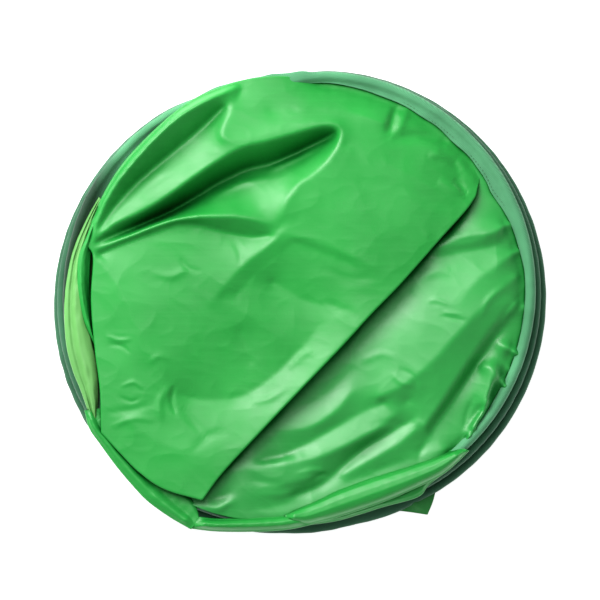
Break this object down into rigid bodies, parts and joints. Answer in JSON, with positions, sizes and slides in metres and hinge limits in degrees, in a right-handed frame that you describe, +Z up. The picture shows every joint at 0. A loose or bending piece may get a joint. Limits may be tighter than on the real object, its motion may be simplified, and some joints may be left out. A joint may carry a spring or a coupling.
{
  "type": "folded pop up tent",
  "caption": "Pop up tent folded flat to a round disc: a coiled spring hoop in binding tape with shiny coated fabric bunched over it.",
  "frame": {"origin": "on the ground, under the middle of the folded disc", "axes": "+Z up out of the disc, +X along its longest way across, +Y towards the rim at crossing B"},
  "size_m": [0.4944, 0.4644, 0.053],
  "materials": {
    "canopy_fabric": "glossy coated nylon",
    "lining_fabric": "satin, pale lime coating",
    "floor_fabric": "glossy coated nylon",
    "binding_tape": "matte woven tape",
    "dark_binding": "matte woven tape",
    "spring_steel": "zinc plated spring wire",
    "ferrule_steel": "crimped steel tube",
    "webbing": "woven webbing",
    "vent_mesh": "fine insect mesh",
    "zip_tape": "woven tape",
    "zip_plastic": "nylon coil",
    "zip_metal": "grey enamel"
  },
  "bodies": {
    "lower_turn": {"lower_rod": "spring_steel", "lower_sleeve": "dark_binding", "lower_ferrule_left": "ferrule_steel", "lower_ferrule_right": "ferrule_steel", "groundsheet": "floor_fabric", "peg_loop_1": "webbing", "peg_loop_2": "webbing", "peg_loop_3": "webbing", "peg_loop_4": "webbing"},
    "middle_turn": {"middle_rod_left": "spring_steel", "middle_rod_right": "spring_steel", "middle_sleeve_left": "dark_binding", "middle_sleeve_right": "dark_binding", "middle_ferrule_left": "ferrule_steel", "middle_ferrule_right": "ferrule_steel", "back_panel": "canopy_fabric", "door_panel": "canopy_fabric", "zip_tape_outer": "zip_tape", "zip_tape_inner": "zip_tape", "zip_teeth": "zip_plastic", "zip_stop_left": "zip_plastic", "zip_stop_right": "zip_plastic", "vent_mesh": "vent_mesh"},
    "upper_turn": {"upper_rod": "spring_steel", "upper_sleeve": "binding_tape", "inner_lining": "lining_fabric", "canopy_rear": "canopy_fabric", "canopy_front": "canopy_fabric", "side_gather": "canopy_fabric", "bottom_roll": "canopy_fabric"},
    "zip_slider": {"zip_slider": "zip_metal"},
    "zip_pull": {"zip_pull": "zip_metal"}
  },
  "joints": [
    {"name": "middle_turn_hinge", "type": "hinge", "parent": "lower_turn", "child": "middle_turn", "pos_m": [-0.04902, 0.21235, 0.0215], "axis": [-0.9744, -0.225, 0], "range_deg": [0, 60]},
    {"name": "upper_turn_hinge", "type": "hinge", "parent": "middle_turn", "child": "upper_turn", "pos_m": [0.0452, -0.19578, 0.0365], "axis": [0.9744, 0.225, 0], "range_deg": [0, 60]},
    {"name": "zip_slider_travel", "type": "slide", "parent": "middle_turn", "child": "zip_slider", "axis": [-0.9744, -0.225, 0], "range_m": [0, 0.19]},
    {"name": "zip_pull_hinge", "type": "hinge", "parent": "zip_slider", "child": "zip_pull", "pos_m": [0.09264, 0.05218, 0.0305], "axis": [-0.225, 0.9744, 0], "range_deg": [0, 6]}
  ]
}
